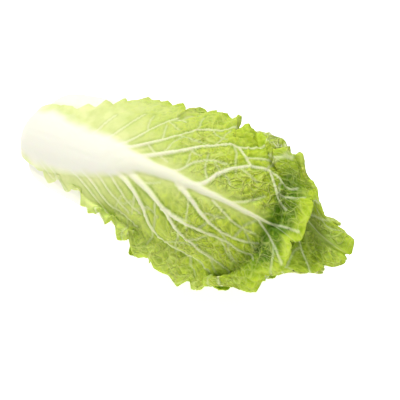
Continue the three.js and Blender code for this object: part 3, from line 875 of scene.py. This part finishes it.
def make_leaf(index, rows, columns, start=0.0):
    """One leaf with its thickness, from a share of its length to its tip."""
    leaf = LEAVES[index]
    rng = np.random.default_rng(seed_for("veins", index))
    lobe_rng = np.random.default_rng(seed_for("lobes", index))
    piece, a, b = grid_piece(f"leaf_{index + 1}", rows, columns)
    a = lerp(start, 1, a * (1 + TIP_ROWS - TIP_ROWS * a))
    side, half, run = np.sign(b), leaf["width"] * blade_share(a), margin_run(leaf, a)

    # its place on the head: along the meridian, and round it by what its width takes
    share, across, tucked, lobe, tip_lobe = cut_outline(index, a, b, run, lobe_rng)
    along = share * MERIDIAN
    clasp = lerp(CLASP, 1, ramp(CLASP_OPENS, a))
    turn = np.degrees(across / wrap_radius(index, share))
    angle = rib_angle(index, a) + turn * clasp + (1 - clasp) * b * CLASP_ANGLE
    open_ = 1 - cover(index, share, angle)

    # its rib and waves
    if index == 0:
        middle, rib_half = (np.interp(along, *np.array(FRONT_RIB, float).T[[0, k]]) for k in (1, 2))
    else:
        middle, rib_half = 0, rib_half_width(a)
    from_rib = np.abs(across - middle)
    arch = np.clip(1 - (from_rib / (RIB_SPREAD * rib_half)) ** 2, 0, 1) ** RIB_SHARPNESS * ramp(RIB_RISES, a)
    height = solid_height(index, share, angle, a, b, arch, open_)

    # its frills
    to_side = (1 - np.abs(b)) * half
    to_tip = (1 - a) * leaf["reach"] * MERIDIAN
    to_edge = np.minimum(to_side, to_tip * TIP_EDGE)
    raised, onwards, beside = frills(index, a, side, across, run, to_side, to_tip, open_, lobe, tip_lobe,
                                     lobe_rng)
    height = height + raised
    share = share + onwards / MERIDIAN
    angle = angle + np.degrees(beside / wrap_radius(index, share))
    x, radius = on_meridian(share, height)
    over = run_over(round_the_axis(x, radius, angle), rows, columns)

    # its veins, and what swells between them
    veins = [rooted(*vein) for vein in (FRONT_VEINS if index == 0 else side_veins(leaf, rng))]
    small = [twig for vein in veins for twig in branches(vein, rng) if twig[0, 0] > TWIGS_FROM]
    near, relief, white, flank_shade = vein_field(np.vstack(veins + small), along, across)
    past_rib = from_rib - rib_half
    off_rib = ramp(OFF_RIB, past_rib * lerp(1, OFF_RIB_NARROWS[0], ramp(OFF_RIB_NARROWS[1], a)))
    crinkled = lerp(LEAST_CRINKLED, 1, ramp(CRINKLED_FROM, a + CRINKLED_BESIDE * past_rib)) * off_rib
    blistered, net, fine_net = blisters(index, along, over, b, half, near)
    ground = crinkled * lerp(PRESSED_GROUND, 1, open_) * blistered
    ground = ground + VEIN_RELIEF * relief * lerp(VEIN_ON_RIB, 1, off_rib) * lerp(PRESSED_VEIN, 1, open_)
    strings = noise(along * STRINGS[2], across, STRINGS[1], seed_for("strings")) * arch * STRINGS[0]
    proud = standing_out(ground, rows, columns)
    crinkled = crinkled * lerp(CRINKLED_EDGE[0], 1, ramp((0, CRINKLED_EDGE[1]), to_edge))

    x, radius = on_meridian(share, height + ground + strings)
    points = round_the_axis(x, radius, angle)
    points[:, 1] = -soft_limit(-points[:, 1], *WIDEST)
    points[:, 2] = np.maximum(points[:, 2], TUCK_CLEARANCE * tucked)
    set_points(piece, points)
    lay_uv(piece, along, over)

    # painted shade: the valley's darker green on the outermost leaf, a weaker one towards the end of the
    # others, kept off the edge
    if index == 0:
        deep = np.clip(DEEP_SHADE.front * valley(share, angle, DEEP_SHADE.widen), 0, 1)
    else:
        deep = ramp(DEEP_SHADE.reach, a) * DEEP_SHADE.others
    deep = deep * ramp(DEEP_SHADE.from_edge, to_edge)
    tell_material(piece, index, a, (along, across, over), (from_rib, rib_half, off_rib), to_edge, proud,
                  crinkled, deep, (white, flank_shade, net, fine_net))
    flesh = 1 - ramp(FLESH_BAND, from_rib / rib_half)
    thick = BLADE_THICKNESS + FLESH_THICKNESS * flesh * (1 - ramp(FLESH_THINS, a))
    thicken(piece, MOST_THICKNESS, np.clip(thick / MOST_THICKNESS, 0, 1))
    return piece


# ---- heart and stem -------------------------------------------------------------------------------------

# the heart's closed body, with the leaves that overlap on it
CORE = Sizes(reach=0.95, depth=6, leaves=4, lean=0.2, step=1.4, rows=90, columns=120, base=(0, 0.05),
             end=(0.97, 1), uv_radius=40, rib=(0.1, 0.5), grown=0.5, merge=0.00005)
# the rolled tips of the innermost leaves
ROLL = Sizes(start=119, end=141, inside=3, outside=11, turns=2.1, wave=2.4, peak=4, rows=36, columns=300,
             length=32, uv_radius=7, waves=((1, 3.4, 0), (0.5, 7.3, 1)), scallops=(7, 2.2),
             frill=(1.2, 5.1, 1), lean=0.45, flare=1.5, net=4, net_line=0.4, net_white=0.4,
             grown=(0.4, 0.5), edge=(0.7, 1), thickness=0.7)
# the cut stem: the rings of its face, its turned edge and hollow middle, and how rough it is (height, size)
CUT_STEM = Sizes(sides=120, rim=1.0, ring=1.25, rings=11, edge=(1, 0), edge_depth=1.2, hollow=(2, 12),
                 hollow_depth=0.9, rough=(0.35, 4), grain=(0.25, 1.6), rough_from=0.5, waves=5,
                 wave_depth=0.03, wave_phase=0.7, wave_reach=(0, 3), away=50, faces_out=-0.9, smooth_angle=50)


def heart_core():
    """The closed body of the heart, under the leaves."""
    piece, v, u = grid_piece("heart_core", CORE.rows, CORE.columns)
    u = (u + 1) / 2
    ends = np.sqrt(ramp(CORE.base, v) * (1 - ramp(CORE.end, v)))
    overlap = (CORE.leaves * (u + CORE.lean * v)) % 1
    x, radius = on_meridian(CORE.reach * v, -CORE.depth - CORE.step * overlap * ends)
    set_points(piece, round_the_axis(x, radius * ends, 360 * u))
    lay_uv(piece, CORE.reach * v * MERIDIAN, np.radians(360 * u) * CORE.uv_radius)
    mark(piece, "rib", 1 - ramp(CORE.rib, v))
    mark(piece, "grown", v * CORE.grown)
    mark(piece, "inner", np.ones_like(v))
    select_only(piece)
    bpy.ops.object.mode_set(mode="EDIT")
    bpy.ops.mesh.select_all(action="SELECT")
    bpy.ops.mesh.remove_doubles(threshold=CORE.merge)
    bpy.ops.object.mode_set(mode="OBJECT")
    bpy.ops.object.shade_smooth()
    return piece


def heart_roll():
    """The rolled tips of the innermost leaves, with a waved rim."""
    piece, v, u = grid_piece("heart_roll", ROLL.rows, ROLL.columns)
    u = (u + 1) / 2
    turn = 2 * np.pi * ROLL.turns * u
    wave = sum(height * np.sin(often * turn + phase) for height, often, phase in ROLL.waves)
    rim = turn * ROLL.uv_radius
    cut = scallops(rim, *ROLL.scallops, seed_for("roll"))
    x = lerp(ROLL.start, ROLL.end + ROLL.wave * wave + ROLL.peak * (1 - u) - cut, v)
    height, often, phase = ROLL.frill
    frill = np.sin(turn * often + phase) * height * v ** 3
    radius = lerp(ROLL.inside, ROLL.outside, u) + (ROLL.lean * wave + frill) * v + ROLL.flare * v ** 4
    set_points(piece, round_the_axis(x, radius, np.degrees(turn)))
    lay_uv(piece, ROLL.length * v, rim)
    border = cells(ROLL.length * v, rim, ROLL.net, seed_for("roll_net"))
    mark(piece, "grown", ROLL.grown[0] + ROLL.grown[1] * v)
    mark(piece, "inner", np.ones_like(v))
    # the rim's fresher green, partly painted light shining through the thin edge
    mark(piece, "edge", ramp(ROLL.edge, v))
    mark(piece, "vein", ROLL.net_white * np.exp(-(border / ROLL.net_line) ** 2))
    thicken(piece, ROLL.thickness, np.ones_like(v))
    return piece


def make_heart(material):
    """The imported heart: its core, its rolled tip and the ends of its inner leaves, as one piece."""
    parts = [heart_core(), heart_roll()]
    for index in range(len(WRAPPER_LEAVES), len(LEAVES)):
        parts.append(make_leaf(index, *HEART_LEAF_GRID, HEART_LEAF_START))
    bpy.ops.object.select_all(action="DESELECT")
    for part in parts:
        part.select_set(True)
    bpy.context.view_layer.objects.active = parts[0]
    bpy.ops.object.join()
    heart = bpy.context.object
    heart.name = heart.data.name = "heart_leaves"
    finished(heart, material, "heart_leaf", "heart")


def make_stump(material):
    """The short stem where the head was cut from its root: a disc with an uneven, hollow cut face."""
    cut = CUT_STEM
    bpy.ops.object.select_all(action="DESELECT")
    length = (stump_box[1][0] - stump_box[0][0]) / MM
    bpy.ops.mesh.primitive_cylinder_add(vertices=cut.sides, radius=STUMP_RADIUS, depth=length,
                                        rotation=(0, -math.pi / 2, 0), end_fill_type="NGON")
    piece = bpy.context.object
    piece.name = piece.data.name = "cut_stem"
    bpy.ops.object.transform_apply(location=False, rotation=True, scale=False)
    bpy.ops.object.mode_set(mode="EDIT")
    bpy.ops.mesh.select_all(action="DESELECT")
    bpy.ops.object.mode_set(mode="OBJECT")
    for face in piece.data.polygons:
        face.select = face.normal.x < cut.faces_out
    bpy.ops.object.mode_set(mode="EDIT")
    bpy.ops.mesh.select_mode(type="FACE")
    bpy.ops.mesh.inset(thickness=cut.rim)
    for _ in range(cut.rings):
        bpy.ops.mesh.inset(thickness=cut.ring)
    bpy.ops.object.mode_set(mode="OBJECT")
    points = points_of(piece)
    around = np.arctan2(points[:, 1], points[:, 2])
    radius = np.hypot(points[:, 1], points[:, 2])
    inwards = STUMP_RADIUS - radius
    dish = cut.edge_depth * ramp(cut.edge, inwards) + cut.hollow_depth * ramp(cut.hollow, inwards)
    spot = points[:, 1:] + cut.away
    rough = [height * noise(spot[:, 0], spot[:, 1], size, seed_for(pattern))
             for pattern, (height, size) in (("cut_rough", cut.rough), ("cut_grain", cut.grain))]
    face = dish + (rough[0] + rough[1]) * (radius < STUMP_RADIUS - cut.rough_from)
    points[:, 0] += STUMP_FRONT + length / 2 + np.where(points[:, 0] < 0, face, 0)
    waves = 1 + np.sin(cut.waves * around + cut.wave_phase)
    swell = 1 - cut.wave_depth * waves * ramp(cut.wave_reach, radius)
    points[:, 1:] *= swell[:, None]
    points[:, 2] += AXIS_HEIGHT + AXIS_SLOPE * points[:, 0]
    set_points(piece, points + CENTRING)
    mark(piece, "from_middle", radius)
    select_only(piece)
    bpy.ops.object.shade_smooth_by_angle(angle=math.radians(cut.smooth_angle))
    finished(piece, material, "stem_flesh", "stem_stump")


# ---- materials ------------------------------------------------------------------------------------------

YOUNG_LEAF = "#EFF5AE"
# What tints the young leaf's colour, in turn: what places each tint, how strong it is and its colour. The
# darkest green, in the valley and towards the leaves' ends, and the dark green in hollows and beside veins are
# painted shade; the light greens on raised points and on the wrinkles' crests are painted highlights, the
# crests partly pale veinlets too; the edge's green is partly painted light through the thin margin.
LEAF_TINTS = (
    ("grown", 1, "#B6CB26"), ("clouds", 1, "#A2C01E"), ("deep", 1, "#4C7600"), ("edge", 1, "#BCD436"),
    ("low", 0.65, "#74990A"), ("high", 0.5, "#D0E440"), ("crests", 0.55, "#E2EE90"),
    ("inner", 0.6, "#EFF0B4"), ("net", 1, "#DAE978"), ("vein", 1, "#F7F9D2"),
)
RIB_FLESH = "#FAF8E8"
RIB_END_FLESH = "#EEF2C2"
RIB_GREENS = (0.1, 0.25)  # metres along the leaf
# patterns of soft noise: the size of their features in millimetres, and how detailed they are
LEAF_PATTERNS = (("cloud", 14, 3.0), ("drift", 9, 1.0), ("pores", 1.5, 2.0))
DENTS = 6  # millimetres from one shallow dent to the next
FINE_WRINKLES = ((8.5, 1.0), (4.2, 0.55))  # two nets: the size of their cells in millimetres, and height
WRINKLE_DRIFT = 0.008  # metres by which the nets are bent
WRINKLE_BREADTH = 0.11  # of a wrinkle's flank, as a share of its cell
STEM_FLESH = "#F4F0DC"
STEM_STAIN = "#E2D4AC"
STEM_STRING = "#C9B98A"
STEM_PATTERNS = (("stain", 7, 4.0), ("pores", 1.2, 3.0))
STRING_SIZE = 2.2  # millimetres from one string to the next
STRING_RING = (9.0, 11.5, 13.5)  # millimetres from the middle: where the ring begins, is full and has ended


def linear(hex_colour):
    """An sRGB hex colour as linear RGBA."""
    parts = [int(hex_colour[i:i + 2], 16) / 255 for i in (1, 3, 5)]
    return tuple(c / 12.92 if c <= 0.04045 else ((c + 0.055) / 1.055) ** 2.4 for c in parts) + (1.0,)


def per_metre(size):
    """A pattern's scale from the size of its features in millimetres."""
    return 1 / (size * MM)


def add(tree, kind, inputs=None, **settings):
    """Adds a node with its settings, and its inputs as values or as another node's sockets."""
    node = tree.nodes.new(kind)
    for name, value in settings.items():
        setattr(node, name, value)
    for name, value in (inputs or {}).items():
        if isinstance(value, bpy.types.NodeSocket):
            tree.links.new(value, node.inputs[name])
        else:
            node.inputs[name].default_value = value
    return node


def new_material(name):
    material = bpy.data.materials.new(name)
    material.use_nodes = True
    tree = material.node_tree
    tree.nodes.clear()
    return material, tree


def waxy_leaf():
    """Leaf blade: watery tissue under wax. The eye sees a soft satin sheen and light inside the blade."""
    material, tree = new_material("waxy_leaf")
    place = add(tree, "ShaderNodeUVMap", uv_map="leaf").outputs["UV"]
    told = {}  # what the points of a leaf say about themselves, and the patterns over them
    for name in ("grown", "deep", "edge", "low", "high", "inner", "net", "vein", "rib", "crinkled"):
        told[name] = add(tree, "ShaderNodeAttribute", attribute_name=name).outputs["Fac"]

    pattern = {}
    for name, size, detail in LEAF_PATTERNS:
        pattern[name] = add(tree, "ShaderNodeTexNoise", {
            "Vector": place, "Scale": per_metre(size), "Detail": detail,
        })
    told["clouds"] = add(tree, "ShaderNodeMapRange", {
        "Value": pattern["cloud"].outputs["Fac"], "From Min": 0.35, "From Max": 0.7,
        "To Min": 0.0, "To Max": 0.35,
    }).outputs[0]
    bent = add(tree, "ShaderNodeVectorMath", {
        0: pattern["drift"].outputs["Color"], 1: (WRINKLE_DRIFT, WRINKLE_DRIFT, 0),
    }, operation="MULTIPLY")
    bent_place = add(tree, "ShaderNodeVectorMath", {
        0: place, 1: bent.outputs[0],
    }, operation="ADD").outputs[0]
    nets = []
    for size, height in FINE_WRINKLES:
        net = add(tree, "ShaderNodeTexVoronoi", {"Vector": bent_place, "Scale": per_metre(size)},
                  feature="DISTANCE_TO_EDGE")
        nets.append(add(tree, "ShaderNodeMapRange", {
            "Value": net.outputs["Distance"], "From Min": 0.0, "From Max": WRINKLE_BREADTH,
            "To Min": height, "To Max": 0.0,
        }, interpolation_type="SMOOTHSTEP").outputs[0])
    wrinkle = add(tree, "ShaderNodeMath", {0: nets[0], 1: nets[1]}, operation="MAXIMUM").outputs[0]
    # the wrinkles' crests are tinted paler: partly pale veinlets, partly a painted highlight
    told["crests"] = add(tree, "ShaderNodeMath", {0: wrinkle, 1: told["crinkled"]},
                         operation="MULTIPLY").outputs[0]

    colour = linear(YOUNG_LEAF)
    for name, strength, tint in LEAF_TINTS:
        share = add(tree, "ShaderNodeMath", {0: told[name], 1: strength}, operation="MULTIPLY").outputs[0]
        tinted = {0: share, 6: colour, 7: linear(tint)}
        colour = add(tree, "ShaderNodeMix", tinted, data_type="RGBA").outputs[2]
    tipwards = add(tree, "ShaderNodeSeparateXYZ", {0: place}).outputs[0]
    greening = add(tree, "ShaderNodeMapRange", {
        "Value": tipwards, "From Min": RIB_GREENS[0], "From Max": RIB_GREENS[1],
    }).outputs[0]
    flesh = add(tree, "ShaderNodeMix", {
        0: greening, 6: linear(RIB_FLESH), 7: linear(RIB_END_FLESH),
    }, data_type="RGBA").outputs[2]
    colour = add(tree, "ShaderNodeMix", {0: told["rib"], 6: colour, 7: flesh}, data_type="RGBA").outputs[2]

    dents = add(tree, "ShaderNodeTexNoise", {
        "Vector": bent_place, "Scale": per_metre(DENTS), "Detail": 1.0,
    })
    dented = add(tree, "ShaderNodeMath", {0: dents.outputs["Fac"], 1: wrinkle}, operation="ADD").outputs[0]
    grain = add(tree, "ShaderNodeBump", {
        "Height": pattern["pores"].outputs["Fac"], "Strength": 0.3, "Distance": 0.0004,
    })
    crinkle = add(tree, "ShaderNodeBump", {
        "Height": dented, "Strength": told["crinkled"], "Distance": 0.0014, "Normal": grain.outputs[0],
    })
    shader = add(tree, "ShaderNodeBsdfPrincipled", {
        "Base Color": colour, "Roughness": 0.5, "IOR": 1.45, "Specular IOR Level": 0.16,
        "Normal": crinkle.outputs[0],
        "Subsurface Weight": 0.15, "Subsurface Radius": (0.6, 1.0, 0.25), "Subsurface Scale": 0.002,
    })
    add(tree, "ShaderNodeOutputMaterial", {"Surface": shader.outputs[0]})
    return material


def cut_stem_flesh():
    """Cut stem: moist white flesh with a ring of strings in it, browned a little by the air."""
    material, tree = new_material("cut_stem_flesh")
    from_middle = add(tree, "ShaderNodeAttribute", attribute_name="from_middle").outputs["Fac"]
    place = add(tree, "ShaderNodeTexCoord").outputs["Object"]
    pattern = {}
    for name, size, detail in STEM_PATTERNS:
        pattern[name] = add(tree, "ShaderNodeTexNoise", {
            "Vector": place, "Scale": per_metre(size), "Detail": detail,
        })
    brown = add(tree, "ShaderNodeMapRange", {
        "Value": pattern["stain"].outputs["Fac"], "From Min": 0.42, "From Max": 0.7,
        "To Min": 0.0, "To Max": 0.55,
    }).outputs[0]
    strings = add(tree, "ShaderNodeTexVoronoi", {"Vector": place, "Scale": per_metre(STRING_SIZE)})
    seen = add(tree, "ShaderNodeMapRange", {
        "Value": strings.outputs["Distance"], "From Min": 0.15, "From Max": 0.4,
        "To Min": 1.0, "To Max": 0.0,
    }).outputs[0]
    begins, full, ended = STRING_RING
    for outer, inner in ((begins, full), (ended, full)):
        band = add(tree, "ShaderNodeMapRange", {"Value": from_middle, "From Min": outer, "From Max": inner})
        seen = add(tree, "ShaderNodeMath", {0: seen, 1: band.outputs[0]}, operation="MULTIPLY").outputs[0]
    colour = linear(STEM_FLESH)
    for share, tint in ((brown, STEM_STAIN), (seen, STEM_STRING)):
        tinted = {0: share, 6: colour, 7: linear(tint)}
        colour = add(tree, "ShaderNodeMix", tinted, data_type="RGBA").outputs[2]
    grain = add(tree, "ShaderNodeBump", {
        "Height": pattern["pores"].outputs["Fac"], "Strength": 0.5, "Distance": 0.0005,
    })
    shader = add(tree, "ShaderNodeBsdfPrincipled", {
        "Base Color": colour, "Roughness": 0.4, "IOR": 1.4, "Normal": grain.outputs[0],
        "Subsurface Weight": 0.2, "Subsurface Radius": (1.0, 0.8, 0.5), "Subsurface Scale": 0.003,
    })
    add(tree, "ShaderNodeOutputMaterial", {"Surface": shader.outputs[0]})
    return material


def lit_table():
    """A white acrylic table lit from below as well, so shadows on it stay faint."""
    material, tree = new_material("lit_white_acrylic")
    shader = add(tree, "ShaderNodeBsdfPrincipled", {
        "Base Color": linear("#D8D8D6"), "Roughness": 0.9,
        "Emission Color": (1, 1, 1, 1), "Emission Strength": 0.85,
    })
    add(tree, "ShaderNodeOutputMaterial", {"Surface": shader.outputs[0]})
    return material


leaf_material = waxy_leaf()
for number, grid in enumerate(LEAF_GRIDS):
    finished(make_leaf(number, *grid), leaf_material, "wrapper_leaf", f"wrapper_leaf_{number + 1}")
make_heart(leaf_material)
make_stump(cut_stem_flesh())

# ---- floor, light and camera ----------------------------------------------------------------------------

# Places and sizes in metres, power in watts.
FLOOR_SIZE = 6
WORLD_STRENGTH = 0.3
LIGHT_AIM = (0, 0, 0.05)
SOFTBOXES = dict(
    key_softbox=dict(place=(-0.4, 0.15, 1.25), size=0.4, power=12.6),
    fill_softbox=dict(place=(0.7, -1.1, 0.7), size=1.2, power=3),
)
VIEW_AZIMUTH = 34.0
VIEW_ELEVATION = 42.8
VIEW_DISTANCE = 1.015
VIEW_LENS = 114  # millimetres, on a sensor of the next width
VIEW_SENSOR = 36
VIEW_TARGET = Vector((0, 0, 0.056))
VIEW_PAN = (0.0154, -0.0119)  # to the right and up, from the target to the middle of the view

bpy.ops.object.select_all(action="DESELECT")
bpy.ops.mesh.primitive_plane_add(size=FLOOR_SIZE)
floor = bpy.context.object
floor.name = "floor"
floor.data.materials.append(lit_table())

world = bpy.data.worlds.new("white_room")
world.use_nodes = True
world.node_tree.nodes["Background"].inputs["Color"].default_value = (1, 1, 1, 1)
world.node_tree.nodes["Background"].inputs["Strength"].default_value = WORLD_STRENGTH
bpy.context.scene.world = world
bpy.context.scene.view_settings.view_transform = "Standard"

for name, box in SOFTBOXES.items():
    light = bpy.data.lights.new(name, "AREA")
    light.size = box["size"]
    light.energy = box["power"]
    holder = bpy.data.objects.new(name, light)
    holder.location = box["place"]
    holder.rotation_euler = (Vector(LIGHT_AIM) - Vector(box["place"])).to_track_quat("-Z", "Y").to_euler()
    bpy.context.collection.objects.link(holder)

turn, tilt = math.radians(VIEW_AZIMUTH), math.radians(VIEW_ELEVATION)
back = Vector((math.sin(turn) * math.cos(tilt), -math.cos(turn) * math.cos(tilt), math.sin(tilt)))
right = Vector((math.cos(turn), math.sin(turn), 0))
middle = VIEW_TARGET + right * VIEW_PAN[0] + back.cross(right) * VIEW_PAN[1]
camera = bpy.data.objects.new("camera", bpy.data.cameras.new("camera"))
camera.data.lens = VIEW_LENS
camera.data.sensor_width = VIEW_SENSOR
camera.location = middle + back * VIEW_DISTANCE
camera.rotation_euler = (-back).to_track_quat("-Z", "Y").to_euler()
bpy.context.collection.objects.link(camera)
bpy.context.scene.camera = camera
